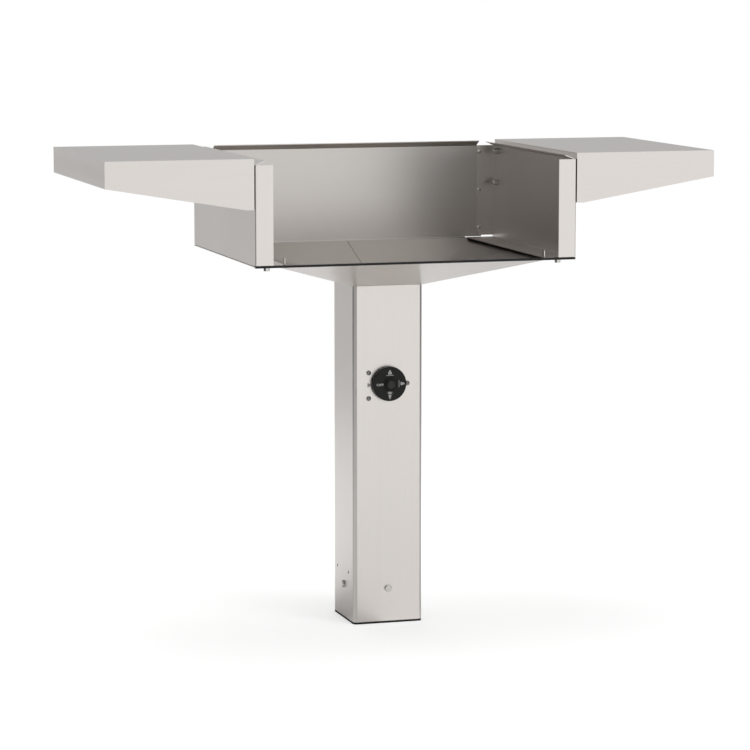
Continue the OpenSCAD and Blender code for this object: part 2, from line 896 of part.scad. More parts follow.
module valve_stem() {
    color([0.8, 0.68, 0.4])
    on_knob_axis(valve_y + stem_in)
        cylinder(r = stem_r, h = stem_in + bracket_t + post_wall + stem_out);
}

// One ring of points round the spring's wire, at a turn angle in degrees
function spring_ring(angle, height) = [
    for (i = [0 : spring_sides - 1])
        let (
            a = 360 * i / spring_sides,
            r = spring_r + spring_wire_r * cos(a)
        )
        [r * cos(angle), r * sin(angle), height + spring_wire_r * sin(a)]
];

module return_spring() {
    from = bush_flange_t + seat_gap + washer_t + spring_wire_r + seat_gap;
    to = chamber_d - spring_wire_r - seat_gap;
    rings = spring_turns * spring_steps;
    points = [
        for (k = [0 : rings])
            each spring_ring(360 * k / spring_steps, from + (to - from) * k / rings)
    ];
    walls = [
        for (k = [0 : rings - 1], i = [0 : spring_sides - 1])
            let (
                a = k * spring_sides + i,
                b = k * spring_sides + (i + 1) % spring_sides
            )
            each [[a, b, a + spring_sides], [b, b + spring_sides, a + spring_sides]]
    ];
    first = [for (i = [1 : spring_sides - 2]) [0, i + 1, i]];
    last = [
        for (i = [1 : spring_sides - 2])
            [rings * spring_sides, rings * spring_sides + i, rings * spring_sides + i + 1]
    ];
    color([0.5, 0.5, 0.5])
    translate([0, valve_y, knob_z]) rotate([-90, 0, 0])
        polyhedron(points = points, faces = concat(walls, first, last));
}

module control_knob() {
    color([0.16, 0.16, 0.16])
    on_knob_axis(front_y - knob_gap) difference() {
        rounded_disc(knob_r, knob_t, knob_edge_r);
        translate([0, 0, -cut]) cylinder(r = stem_r + seat_gap, h = knob_t + 2 * cut);
    }
}

// Short cone on a low cylindrical foot, standing on z = 0
module hub_cone() {
    rotate_extrude()
        polygon([[0, 0], [hub_r, 0], [hub_r, hub_foot], [hub_face_r, hub_h], [0, hub_h]]);
}

module knob_hub() {
    color([0.19, 0.19, 0.19])
    on_knob_axis(front_y - knob_gap - knob_t) difference() {
        hub_cone();
        translate([0, 0, -cut])
            cylinder(r = stem_r + seat_gap, h = stem_out - knob_gap - knob_t + seat_gap + cut);
    }
}

module igniter_unit() {
    y = valve_y + valve_len - side_flat_d / 2;
    color([0.12, 0.12, 0.12])
    union() {
        block([side_flat, y - side_flat_d / 2, knob_z - side_flat_h / 2],
            [side_flat + igniter_foot, y + side_flat_d / 2, knob_z + side_flat_h / 2]);
        translate([side_flat + igniter_foot + igniter_r - cut, y + igniter_len / 2, knob_z])
            rotate([90, 0, 0]) cylinder(r = igniter_r, h = igniter_len);
    }
}

// Gas line

module pipe(z0, z1) {
    translate([0, port_y, z0]) difference() {
        cylinder(r = pipe_r, h = z1 - z0);
        translate([0, 0, -cut]) cylinder(r = pipe_r - pipe_wall, h = z1 - z0 + 2 * cut);
    }
}

module inlet_pipe() {
    color([0.72, 0.45, 0.3])
    pipe(inlet_end_z, knob_z - port_len + port_seat - seat_gap);
}

module outlet_pipe() {
    color([0.72, 0.45, 0.3])
    pipe(knob_z + port_len - port_seat + seat_gap, outlet_end_z);
}

module inlet_union() {
    color([0.75, 0.62, 0.3])
    translate([0, port_y, inlet_end_z - union_t + union_seat]) difference() {
        cylinder(r = union_r, h = union_t, $fn = 6);
        translate([0, 0, -cut])
            cylinder(r = pipe_r + union_gap, h = union_t - union_seat - union_stop + cut);
        cylinder(r = pipe_r - pipe_wall, h = union_t);
        translate([0, 0, union_t - union_seat]) cylinder(r = pipe_r + seat_gap, h = union_seat + cut);
    }
}

module outlet_union() {
    color([0.75, 0.62, 0.3])
    translate([0, port_y, outlet_end_z - union_seat]) difference() {
        union() {
            cylinder(r = union_r, h = outlet_nut_t, $fn = 6);
            cylinder(r = outlet_thread_r, h = outlet_nut_t + outlet_thread_len);
        }
        translate([0, 0, -cut]) cylinder(r = pipe_r + seat_gap, h = union_seat + cut);
        cylinder(r = pipe_r - pipe_wall, h = outlet_nut_t + outlet_thread_len + cut);
    }
}

base_gasket();
base_socket();
base_grommet();
post();
post_base_bolts();
post_base_nuts();
post_top_frame();
rear_access_cover();
access_cover_screws();
funnel();
funnel_bolts();
funnel_nuts();
front_edge_trim();
left_side_panel();
right_side_panel();
rear_panel();
rear_panel_screws();
cradle_studs();
cradle_nuts();
left_shelf();
right_shelf();
shelf_spacers();
shelf_bolts();
shelf_cap_nuts();
valve_bracket();
valve_bracket_screws();
valve_bracket_nuts();
valve_body();
valve_bush();
return_spring();
thrust_washer();
valve_stem();
control_knob();
knob_hub();
igniter_unit();
inlet_pipe();
inlet_union();
outlet_pipe();
outlet_union();
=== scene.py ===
"""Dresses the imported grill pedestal: folded sheet, fasteners, knob, gas line, studio and camera."""
import math

import bmesh
import bpy
from bpy.props import FloatProperty, FloatVectorProperty, IntProperty, PointerProperty, StringProperty
from mathutils import Matrix, Vector


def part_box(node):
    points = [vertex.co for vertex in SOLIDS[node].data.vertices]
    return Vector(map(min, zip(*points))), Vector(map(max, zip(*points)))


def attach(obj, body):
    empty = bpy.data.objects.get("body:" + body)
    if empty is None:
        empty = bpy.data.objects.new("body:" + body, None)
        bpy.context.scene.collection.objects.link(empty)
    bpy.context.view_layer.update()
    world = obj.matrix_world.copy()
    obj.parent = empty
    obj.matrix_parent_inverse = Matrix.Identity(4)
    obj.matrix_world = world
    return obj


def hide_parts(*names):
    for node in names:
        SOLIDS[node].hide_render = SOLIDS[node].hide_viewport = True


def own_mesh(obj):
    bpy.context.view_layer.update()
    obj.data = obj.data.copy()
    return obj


bl_info = {
    "name": "Grill Pedestal Finish",
    "version": (1, 0, 0),
    "blender": (4, 5, 0),
    "location": "3D View > Sidebar > Pedestal",
    "description": "Finishes a stainless steel grill pedestal on its solid frame",
    "category": "Object",
}

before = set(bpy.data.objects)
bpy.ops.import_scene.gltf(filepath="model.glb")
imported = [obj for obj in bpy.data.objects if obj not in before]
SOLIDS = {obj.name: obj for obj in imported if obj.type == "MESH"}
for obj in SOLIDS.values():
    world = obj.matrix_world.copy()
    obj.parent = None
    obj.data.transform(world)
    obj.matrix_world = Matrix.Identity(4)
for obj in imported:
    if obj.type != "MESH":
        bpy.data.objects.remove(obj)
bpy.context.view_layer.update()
UPRIGHT = Matrix.Rotation(math.radians(90), 4, "X")  # takes Y up and Z to the front
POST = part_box("post")
KNOB_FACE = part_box("control_knob")
KNOB_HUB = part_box("knob_hub")
KNOB_CENTRE = (KNOB_FACE[0] + KNOB_FACE[1]) / 2
KNOB_RECESS = 0.0003  # how far the ring with the marks lies below the knob's rim

# Sizes and colours that can be changed


def length_setting(name, description, default):
    return FloatProperty(name=name, description=description, default=default,
                         subtype="DISTANCE", unit="LENGTH")


def angle_setting(name, description, degrees):
    return FloatProperty(name=name, description=description, default=math.radians(degrees),
                         subtype="ANGLE", unit="ROTATION")


def colour_setting(name, description, default):
    return FloatVectorProperty(name=name, description=description, default=default,
                               subtype="COLOR", size=3, min=0, max=1)


def number_setting(name, description, default):
    return FloatProperty(name=name, description=description, default=default)


class SteelSettings(bpy.types.PropertyGroup):
    tint: colour_setting("Steel tint", "Reflected colour of the brushed sheet", (0.70, 0.665, 0.635))
    roughness: FloatProperty(
        name="Roughness", description="Mean roughness of the brushed sheet",
        min=0, max=1, default=0.30)
    grain_width: length_setting("Grain width", "Width of one brush line", 0.0009)
    grain_length: length_setting("Grain length", "Length of one brush line", 0.09)
    edge_round: length_setting("Edge rounding", "Rounding on the cut edges of the sheet", 0.00035)


class PostSettings(bpy.types.PropertyGroup):
    wall: length_setting("Wall", "Sheet thickness of the post", 0.002)
    bend: length_setting("Bend radius", "Outside radius of the four bends", 0.008)
    bend_steps: IntProperty(
        name="Bend steps", description="Facets in each bend", min=2, max=24, default=10)
    drain_radius: length_setting("Drain radius", "Radius of the two drain holes", 0.0028)
    drain_height: length_setting("Drain height", "Height of the drain holes above the ground", 0.0965)
    drain_pitch: length_setting("Drain pitch", "Distance between the drain holes", 0.075)
    drain_back: length_setting("Drain offset", "Distance of their midpoint behind the post's axis", 0.005)
    cover_margin: length_setting("Cover margin", "How far the cover overlaps its opening", 0.012)


class FastenerSettings(bpy.types.PropertyGroup):
    seed: IntProperty(
        name="Seed", description="Seed for the turn of each fastener", default=4)
    turn: angle_setting("Turn", "Largest turn of a loose fastener about its axis", 60)
    thread_pitch: length_setting("Thread pitch", "Pitch of the visible threads", 0.001)


class KnobSettings(bpy.types.PropertyGroup):
    colour: colour_setting("Knob colour", "Colour of the moulded knob", (0.014, 0.014, 0.013))
    print_colour: colour_setting("Print colour", "Colour of the marks on the knob", (0.42, 0.42, 0.42))
    edge: length_setting("Edge rounding", "Rounding of the disc's front edge", 0.002)
    bore: length_setting("Bore", "Radius of the bore for the valve's stem", 0.0041)
    word: StringProperty(
        name="Closed mark", description="Word at the closed position", default="OFF")
    word_width: length_setting("Word width", "Width of the word", 0.0148)
    word_height: length_setting("Word height", "Height of the word", 0.0047)
    print_depth: length_setting("Print depth", "How far the print stands out", 0.00012)
    pointer_width: length_setting("Pointer width", "Width of the pointer on the post", 0.0070)
    pointer_height: length_setting("Pointer height", "Height of the pointer on the post", 0.0086)
    pointer_out: length_setting("Pointer place", "Distance of the pointer to the left of the knob's axis", 0.0376)


class StageSettings(bpy.types.PropertyGroup):
    camera_place: FloatVectorProperty(
        name="Camera place", description="Place of the camera",
        subtype="TRANSLATION", unit="LENGTH", size=3, default=(-1.7423, -5.7182, 1.2704))
    camera_yaw: angle_setting("Camera yaw", "Turn of the view to the right", 16.896)
    camera_pitch: angle_setting("Camera pitch", "Tilt of the view downwards", 7.582)
    camera_lens: number_setting("Focal length", "Focal length in millimetres on a 36 mm frame", 149.52)
    floor_colour: colour_setting("Floor colour", "Colour of the studio floor", (0.80, 0.80, 0.80))
    bright_level: number_setting("Front right", "Level of the studio at the front right", 1.10)
    dark_level: number_setting("Front left", "Level of the studio at the front left", 0.24)
    side_level: number_setting("Sides", "Level of the studio to the left and right", 0.20)
    left_level: number_setting("Left", "Level of the studio between the front left and the left side", 0.42)
    left_rear_level: number_setting("Left rear", "Level of the studio behind, to the left", 0.69)
    right_rear_level: number_setting("Right rear", "Level of the studio behind, to the right", 0.58)
    overhead_level: number_setting("Overhead", "Level of the studio straight above", 1.3)
    floor_radius: length_setting("Floor radius", "Radius of the round studio floor", 2.6)
    floor_lift: number_setting("Floor lift", "Even light of the floor itself", 0.50)
    floor_shine: number_setting(
        "Floor in the metal", "Share of the studio's level that the floor shows in reflections", 0.42)
    floor_front: number_setting("Front floor", "Factor on the reflected floor before the pedestal", 0.75)
    floor_rear: number_setting("Rear floor", "Factor on the reflected floor behind the pedestal", 1.65)
    key_power: number_setting("Key power", "Power of the large front lamp in watts", 25)
    top_power: number_setting("Top power", "Power of the overhead lamp in watts", 33)


# Node helpers


def add(tree, kind, inputs=None, **attributes):
    """A new node with its attributes set and its inputs linked or given values."""
    node = tree.nodes.new(kind)
    for name, value in attributes.items():
        setattr(node, name, value)
    for key, value in (inputs or {}).items():
        if isinstance(value, bpy.types.NodeSocket):
            tree.links.new(value, node.inputs[key])
        else:
            node.inputs[key].default_value = value
    return node


def base_material(name, colour, metallic, roughness):
    mat = bpy.data.materials.new(name)
    mat.use_nodes = True
    tree = mat.node_tree
    tree.nodes.clear()
    shader = add(tree, "ShaderNodeBsdfPrincipled", {
        "Base Color": (*colour, 1), "Metallic": metallic, "Roughness": roughness})
    add(tree, "ShaderNodeOutputMaterial", {"Surface": shader.outputs[0]})
    return mat, tree, shader


def pattern(tree, scale, detail=2.0, roughness=0.5):
    """Noise on object coordinates, stretched by a scale along each axis."""
    coord = add(tree, "ShaderNodeTexCoord")
    place = add(tree, "ShaderNodeMapping", {"Vector": coord.outputs["Object"], "Scale": scale})
    noise = add(tree, "ShaderNodeTexNoise", {
        "Vector": place.outputs[0], "Scale": 1.0, "Detail": detail, "Roughness": roughness})
    return noise.outputs["Fac"]


def spread(tree, value, low, high, from_low=0.3, from_high=0.7):
    return add(tree, "ShaderNodeMapRange", {
        "Value": value, "From Min": from_low, "From Max": from_high,
        "To Min": low, "To Max": high}).outputs[0]


def calc(tree, operation, a, b):
    return add(tree, "ShaderNodeMath", {0: a, 1: b}, operation=operation).outputs[0]


def times(tree, a, b):
    return calc(tree, "MULTIPLY", a, b)


def dress(tree, shader, colour, shade, roughness=None):
    """Varies a shader's colour by a factor over the surface, and its roughness."""
    grey = add(tree, "ShaderNodeCombineColor", {0: shade, 1: shade, 2: shade})
    mix = add(tree, "ShaderNodeMix", {0: 1.0, 6: (*colour, 1), 7: grey.outputs[0]},
              data_type="RGBA", blend_type="MULTIPLY")
    tree.links.new(mix.outputs[2], shader.inputs["Base Color"])
    if roughness is not None:
        tree.links.new(roughness, shader.inputs["Roughness"])


def bump(tree, shader, height, strength, distance):
    node = add(tree, "ShaderNodeBump", {
        "Height": height, "Strength": strength, "Distance": distance})
    tree.links.new(node.outputs[0], shader.inputs["Normal"])


# Materials


def brushed_sheet(name, settings, grain_axis, roughness=None, painted_shade_factor=1.0, anisotropy=0.3, painted_shade_up=0.0, painted_light_below=0.0):
    """Brushed stainless sheet with its brush lines along one axis, with painted shade where it faces up and painted
    light where it faces down.
    """
    # The factor darkens the whole sheet: painted shade on a copy of the same steel.
    colour = tuple(c * painted_shade_factor for c in settings.tint)
    level = settings.roughness if roughness is None else roughness
    mat, tree, shader = base_material(name, colour, 1.0, level)
    axis = "XYZ".index(grain_axis)
    scale = [1 / settings.grain_width] * 3
    scale[axis] = 1 / settings.grain_length
    grain = pattern(tree, scale, 4.0, 0.6)
    band = pattern(tree, [c / 9 for c in scale])
    smudge = pattern(tree, (7, 7, 7), 3.0, 0.55)
    shade = times(tree, spread(tree, grain, 0.985, 1.012), spread(tree, smudge, 0.985, 1.01))
    shade = times(tree, shade, spread(tree, band, 0.993, 1.005))
    # Painted shade darkens faces that point up and painted light brightens faces that point down.
    if painted_shade_up or painted_light_below:
        coord = add(tree, "ShaderNodeTexCoord")
        up = add(tree, "ShaderNodeSeparateXYZ", {"Vector": coord.outputs["Normal"]}).outputs["Z"]
        shade = times(tree, shade, spread(tree, up, 1.0, 1.0 - painted_shade_up, 0.0, 0.5))
        shade = times(tree, shade, spread(tree, up, 1.0 + painted_light_below, 1.0, -0.8, -0.4))
    dress(tree, shader, colour, shade,
          times(tree, spread(tree, grain, 0.94 * level, 1.06 * level), spread(tree, smudge, 0.96, 1.06)))
    tangent = add(tree, "ShaderNodeCombineXYZ", {axis: 1.0})
    tree.links.new(tangent.outputs[0], shader.inputs["Tangent"])
    shader.inputs["Anisotropic"].default_value = anisotropy
    bump(tree, shader, grain, 0.05, 0.00002)
    return mat


def machined_metal(name, colour, roughness, speckle=0.05):
    """Plain bright metal with fine turning marks and light handling wear."""
    mat, tree, shader = base_material(name, colour, 1.0, roughness)
    fine = pattern(tree, (900, 900, 2500), 3.0, 0.6)
    worn = pattern(tree, (60, 60, 60), 4.0, 0.6)
    dress(tree, shader, colour, spread(tree, worn, 1 - speckle * 2, 1.0),
          times(tree, spread(tree, fine, 0.85 * roughness, 1.1 * roughness), spread(tree, worn, 1.25, 0.9)))
    bump(tree, shader, fine, 0.08, 0.00004)
    return mat


def coated_metal(name, colour, roughness):
    """Zinc plated plate with its faint spangle."""
    mat, tree, shader = base_material(name, colour, 1.0, roughness)
    coord = add(tree, "ShaderNodeTexCoord")
    cells = add(tree, "ShaderNodeTexVoronoi", {"Vector": coord.outputs["Object"], "Scale": 140.0})
    dust = pattern(tree, (25, 25, 25), 5.0, 0.6)
    shade = times(tree, spread(tree, cells.outputs["Distance"], 0.88, 1.05, 0.0, 0.9),
                  spread(tree, dust, 0.9, 1.0))
    dress(tree, shader, colour, shade, spread(tree, dust, 1.2 * roughness, 0.85 * roughness))
    bump(tree, shader, dust, 0.1, 0.0001)
    return mat


def moulded(name, colour, roughness, texture=2600.0, depth=0.00006, shine=0.25):
    """Moulded plastic or rubber with a fine mould texture and dusty patches."""
    mat, tree, shader = base_material(name, colour, 0.0, roughness)
    shader.inputs["Specular IOR Level"].default_value = shine
    fine = pattern(tree, (texture, texture, texture))
    dust = pattern(tree, (40, 40, 40), 4.0, 0.6)
    dress(tree, shader, colour, times(tree, spread(tree, fine, 0.9, 1.1), spread(tree, dust, 0.88, 1.18)),
          spread(tree, dust, 0.9 * roughness, 1.15 * roughness))
    bump(tree, shader, fine, 0.25, depth)
    return mat


def printed(name, colour, roughness):
    """Pad print, a little thin and uneven."""
    mat, tree, shader = base_material(name, colour, 0.0, roughness)
    worn = pattern(tree, (700, 700, 700), 3.0, 0.6)
    dress(tree, shader, colour, spread(tree, worn, 0.86, 1.04))
    bump(tree, shader, worn, 0.1, 0.00003)
    return mat


MATERIALS = {}


def make_materials(scene):
    steel, knob = scene.pedestal_steel, scene.pedestal_knob
    MATERIALS.update(
        post=brushed_sheet("post_sheet_upright_grain", steel, "Z"),
        across=brushed_sheet("sheet_grain_across", steel, "X"),
        # Painted light on the panels' faces that point down.
        panel=brushed_sheet("panel_sheet_upright_grain", steel, "Z", painted_light_below=0.28),
        # Painted shade on the funnel's faces that point up, and a slightly darker painted shade over the whole
        # funnel.
        funnel=brushed_sheet("funnel_sheet", steel, "X", roughness=0.33, painted_shade_factor=0.98, anisotropy=0.2, painted_shade_up=0.24),
        # The rear panel is a darker copy of the same steel: painted shade.
        rear=brushed_sheet("rear_sheet_grain_across", steel, "X", painted_shade_factor=0.83),
        bright=machined_metal("bright_fastener", (0.62, 0.60, 0.57), 0.15),
        dark_screw=machined_metal("dark_screw", (0.28, 0.27, 0.26), 0.28),
        zinc=coated_metal("zinc_plate", (0.55, 0.55, 0.53), 0.42),
        brass=machined_metal("machined_brass", (0.72, 0.53, 0.24), 0.30, 0.1),
        copper=machined_metal("drawn_copper", (0.72, 0.40, 0.26), 0.32, 0.14),
        spring=machined_metal("spring_wire", (0.45, 0.45, 0.45), 0.25),
        rubber=moulded("black_rubber", (0.018, 0.018, 0.018), 0.7, 900.0, 0.0001),
        trim=moulded("black_edge_strip", (0.012, 0.012, 0.013), 0.45),
        knob=moulded("black_knob_plastic", tuple(knob.colour), 0.38, shine=0.17),
        hub=moulded("dark_hub_plastic", tuple(2.1 * c for c in knob.colour), 0.42),
        mark=printed("knob_print", tuple(knob.print_colour), 0.5),
        pointer=printed("post_print", (0.02, 0.02, 0.02), 0.55),
        igniter=moulded("igniter_plastic", (0.02, 0.02, 0.02), 0.5),
    )


# Mesh helpers


def new_object(name, data):
    obj = bpy.data.objects.new(name, data)
    bpy.context.scene.collection.objects.link(obj)
    return obj


def mesh_from(bm, name):
    bmesh.ops.recalc_face_normals(bm, faces=bm.faces)
    mesh = bpy.data.meshes.new(name)
    bm.to_mesh(mesh)
    bm.free()
    return mesh


def built(name, bm):
    return new_object(name, mesh_from(bm, name))


def bake(obj):
    """Turns the evaluated object into a plain mesh and drops its modifiers."""
    graph = bpy.context.evaluated_depsgraph_get()
    mesh = bpy.data.meshes.new_from_object(obj.evaluated_get(graph))
    old = obj.data
    obj.modifiers.clear()
    obj.data = mesh
    bpy.data.meshes.remove(old)
    mesh.name = obj.name
    return obj


def smooth(obj, degrees=35):
    """Smooth shading over edges up to an angle, with flat faces kept flat."""
    obj.data.shade_smooth()
    obj.data.set_sharp_from_angle(angle=math.radians(degrees))
    weights = obj.modifiers.new("Face weights", "WEIGHTED_NORMAL")
    weights.keep_sharp = True
    return bake(obj)


def merged(mesh, flat=0.0):
    """A copy of a mesh with its doubled points merged, and faces joined that lie flat within an angle."""
    bm = bmesh.new()
    bm.from_mesh(mesh)
    bmesh.ops.remove_doubles(bm, verts=bm.verts, dist=1e-6)
    if flat:
        bmesh.ops.dissolve_limit(bm, angle_limit=math.radians(flat), verts=bm.verts, edges=bm.edges)
    return bm


def rounded(bm, radius):
    """Rounds every edge sharper than 35 degrees."""
    sharp = [e for e in bm.edges if len(e.link_faces) == 2 and e.calc_face_angle(0) > math.radians(35)]
    bmesh.ops.bevel(bm, geom=sharp, offset=radius, segments=2, profile=0.5,
                    affect="EDGES", clamp_overlap=True)
    bmesh.ops.triangulate(bm, faces=[f for f in bm.faces if len(f.verts) > 4])


def ready(obj, body, material, slot, *nodes):
    """Gives a piece its material and its body, and the nodes that it stands for; its slot is not used."""
    obj.data.materials.clear()
    obj.data.materials.append(MATERIALS[material])
    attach(obj, body)
    if nodes:
        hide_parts(*nodes)


def folded_sheet(node, material, radius, slot="brushed_steel"):
    """Stands for a fixed node with the node's own shape and rounded edges."""
    bm = merged(SOLIDS[node].data, 0.5)
    rounded(bm, radius)
    ready(smooth(built(node + "_sheet", bm), 50), "pedestal", material, slot, node)


def lofted(rings, closed=False):
    """A shape through rings of points, capped at both ends or closed on itself; a ring may be one point."""
    bm = bmesh.new()
    rings = [[bm.verts.new(point) for point in ring] for ring in rings]
    for low, high in zip(rings, rings[1:] + rings[:1] if closed else rings[1:]):
        steps = max(len(low), len(high))
        for k in range(steps):
            n = (k + 1) % steps
            corners = [low[k % len(low)], low[n % len(low)], high[n % len(high)], high[k % len(high)]]
            corners = list(dict.fromkeys(corners))
            if len(corners) > 2:
                bm.faces.new(corners)
    for ring in () if closed else (rings[0][::-1], rings[-1]):
        if len(ring) > 2:
            bm.faces.new(ring)
    return bm


def turned(outline, steps):
    """A shape turned about Z from (radius, height) points, closed on itself where its ends are the same."""
    closed = outline[0] == outline[-1]
    turns = [2 * math.pi * k / steps for k in range(steps)]
    return lofted([
        [(radius * math.cos(a), radius * math.sin(a), height) for a in (turns if radius else turns[:1])]
        for radius, height in (outline[:-1] if closed else outline)], closed)


def prism(outline, low, high, chamfer=0.0):
    """An upright prism on (x, y) points, with its end outlines drawn in by a share."""
    rise = chamfer * 0.003
    levels = [(low, 1 - chamfer), (low + rise, 1), (high - rise, 1), (high, 1 - chamfer)]
    if not chamfer:
        levels = [(low, 1), (high, 1)]
    return lofted([[(x * s, y * s, z) for x, y in outline] for z, s in levels])


def arc(centre, radius, start, end, steps):
    """Points of an arc in degrees about a centre."""
    turns = [math.radians(start + (end - start) * k / steps) for k in range(steps + 1)]
    return [(centre[0] + radius * math.cos(a), centre[1] + radius * math.sin(a)) for a in turns]


def hexagon(radius):
    return arc((0, 0), radius, 0, 300, 5)


def joined(parts, name):
    """One mesh of several closed parts."""
    whole = bmesh.new()
    for bm in parts:
        mesh = mesh_from(bm, "part")
        whole.from_mesh(mesh)
        bpy.data.meshes.remove(mesh)
    mesh = bpy.data.meshes.new(name)
    whole.to_mesh(mesh)
    whole.free()
    return mesh


def cut_away(obj, cutter_mesh):
    cutter = new_object("cutter", cutter_mesh)
    cut = obj.modifiers.new("Cut", "BOOLEAN")
    cut.object = cutter
    cut.solver = "EXACT"
    bake(obj)
    bpy.data.objects.remove(cutter)
    bpy.data.meshes.remove(cutter_mesh)
    return obj


def islands(node):
    """The box of each separate solid of a node, as (lowest corner, highest corner)."""
    bm = merged(SOLIDS[node].data)
    left, boxes = set(bm.verts), []
    while left:
        todo, group = [left.pop()], []
        while todo:
            vert = todo.pop()
            group.append(vert.co.copy())
            for edge in vert.link_edges:
                other = edge.other_vert(vert)
                if other in left:
                    left.remove(other)
                    todo.append(other)
        boxes.append((Vector(min(c[i] for c in group) for i in range(3)),
                      Vector(max(c[i] for c in group) for i in range(3))))
    bm.free()
    return sorted(boxes, key=lambda b: tuple(round(v, 5) for v in b[0]))


# Geometry node trees


def new_tree(name, sockets):
    """An empty geometry tree with named inputs, as (name, kind, default) triples."""
    tree = bpy.data.node_groups.new(name, "GeometryNodeTree")
    for label, kind, default in sockets:
        socket = tree.interface.new_socket(label, in_out="INPUT", socket_type="NodeSocket" + kind)
        if default is not None:
            socket.default_value = default
    tree.interface.new_socket("Geometry", in_out="OUTPUT", socket_type="NodeSocketGeometry")
    return tree, add(tree, "NodeGroupInput").outputs


def close_tree(tree, geometry, material):
    """Ends a tree in Realize Instances and Set Material."""
    real = add(tree, "GeometryNodeRealizeInstances", {"Geometry": geometry})
    paint = add(tree, "GeometryNodeSetMaterial", {"Geometry": real.outputs[0], "Material": material})
    add(tree, "NodeGroupOutput", {0: paint.outputs[0]})


def grow(obj, tree, values):
    """Runs a tree on an object with its inputs set by identifier, and keeps the plain result."""
    modifier = obj.modifiers.new(tree.name, "NODES")
    modifier.node_group = tree
    for item in tree.interface.items_tree:
        if item.item_type == "SOCKET" and item.in_out == "INPUT" and item.name in values:
            modifier[item.identifier] = values[item.name]
    return bake(obj)


def fastener_tree():
    """Sets one fastener on every point, along the point's axis, each turned by its own angle."""
    tree, given = new_tree("Fastener set", [
        ("Places", "Geometry", None),
        ("Fastener", "Object", None),
        ("Turn", "Float", 0.5),
        ("Seed", "Int", 1),
        ("Material", "Material", None),
    ])
    stock = add(tree, "GeometryNodeObjectInfo", {"Object": given["Fastener"]}, transform_space="ORIGINAL")
    axis = add(tree, "GeometryNodeInputNamedAttribute", {"Name": "axis"}, data_type="FLOAT_VECTOR")
    point = add(tree, "FunctionNodeAlignRotationToVector", {"Vector": axis.outputs[0]}, axis="Z")
    angle = add(tree, "FunctionNodeRandomValue", {
        2: times(tree, given["Turn"], -1.0), 3: given["Turn"], "Seed": given["Seed"]}, data_type="FLOAT")
    spin = add(tree, "FunctionNodeAxisAngleToRotation", {"Axis": (0, 0, 1), "Angle": angle.outputs[1]})
    turn = add(tree, "FunctionNodeRotateRotation", {
        "Rotation": point.outputs[0], "Rotate By": spin.outputs[0]}, rotation_space="LOCAL")
    copies = add(tree, "GeometryNodeInstanceOnPoints", {
        "Points": given["Places"], "Instance": stock.outputs["Geometry"], "Rotation": turn.outputs[0]})
    close_tree(tree, copies.outputs[0], given["Material"])
    return tree


def post_tree():
    """A square tube with round bends: two filleted outlines filled between and drawn up."""
    tree, given = new_tree("Folded post", [
        ("Start", "Geometry", None),
        ("Width", "Float", 0.138),
        ("Wall", "Float", 0.002),
        ("Bend Radius", "Float", 0.008),
        ("Bend Steps", "Int", 10),
        ("Foot", "Float", 0.004),
        ("Length", "Float", 0.652),
        ("Material", "Material", None),
    ])

    def less(a, b, factor):
        return calc(tree, "SUBTRACT", a, times(tree, b, factor))

    def outline(width, radius):
        square = add(tree, "GeometryNodeCurvePrimitiveQuadrilateral", {"Width": width, "Height": width})
        bend = add(tree, "GeometryNodeFilletCurve", {
            "Curve": square.outputs[0], "Radius": radius, "Count": given["Bend Steps"]}, mode="POLY")
        return bend.outputs[0]

    def both(first, second):
        node = add(tree, "GeometryNodeJoinGeometry")
        for geometry in (first, second):
            tree.links.new(geometry, node.inputs[0])
        return node.outputs[0]

    inside = outline(less(given["Width"], given["Wall"], 2.0), less(given["Bend Radius"], given["Wall"], 1.0))
    ring = add(tree, "GeometryNodeFillCurve", {
        "Curve": both(outline(given["Width"], given["Bend Radius"]), inside)})
    up = add(tree, "ShaderNodeCombineXYZ", {2: given["Length"]})
    drawn = add(tree, "GeometryNodeExtrudeMesh", {
        "Mesh": ring.outputs[0], "Offset": up.outputs[0], "Offset Scale": 1.0, "Individual": False})
    foot = add(tree, "GeometryNodeFlipFaces", {"Mesh": ring.outputs[0]})
    welded = add(tree, "GeometryNodeMergeByDistance", {
        "Geometry": both(drawn.outputs[0], foot.outputs[0]), "Distance": 0.00001})
    lift = add(tree, "ShaderNodeCombineXYZ", {2: given["Foot"]})
    placed = add(tree, "GeometryNodeSetPosition", {"Geometry": welded.outputs[0], "Offset": lift.outputs[0]})
    close_tree(tree, placed.outputs[0], given["Material"])
    return tree


# Fasteners


def threaded(radius, length, top, pitch):
    """Outline of a shank up to z = 0, threaded from its tail to a top, as (radius, height) points."""
    low = -length + radius * 0.2
    count = max(1, int((top - low) / pitch))
    step = (top - low) / count
    outline = [(0, -length), (radius * 0.8, -length), (radius * 0.88, low)]
    for k in range(count):
        outline += [(radius * 0.99, low + step * (k + 0.45)), (radius * 0.88, low + step * (k + 0.95))]
    return outline + [(radius, 0)]


def flat_head_stock(head, head_h, edge, shank, length, pitch):
    """Flat round head with a rounded edge on a threaded shank; the head sits on z = 0."""
    outline = threaded(shank, length, -head_h * 0.1, pitch)
    outline += [(head * 0.97, 0), (head, head_h * 0.08), (head, head_h - edge)]
    outline += arc((head - edge, head_h - edge), edge, 12, 90, 8) + [(0, head_h)]
    return smooth(built("stock", turned(outline, 40)))


def round_head_stock(head, head_h, shank, length, pitch):
    """Low dome head with a hexagon socket on a threaded shank; the head sits on z = 0."""
    dome = (head * head + head_h * head_h) / (2 * head_h)
    outline = threaded(shank, length, -head_h * 0.1, pitch) + [(head * 0.97, 0), (head, head_h * 0.12)]
    outline += [
        (dome * math.sin(a), head_h - dome + dome * math.cos(a))
        for a in [math.asin(head / dome) * (1 - k / 7) for k in range(1, 7)]]
    socket = prism(hexagon(head * 0.38), head_h * 0.3, head_h * 1.5)
    return smooth(cut_away(built("stock", turned(outline + [(0, head_h)], 32)), mesh_from(socket, "socket")))


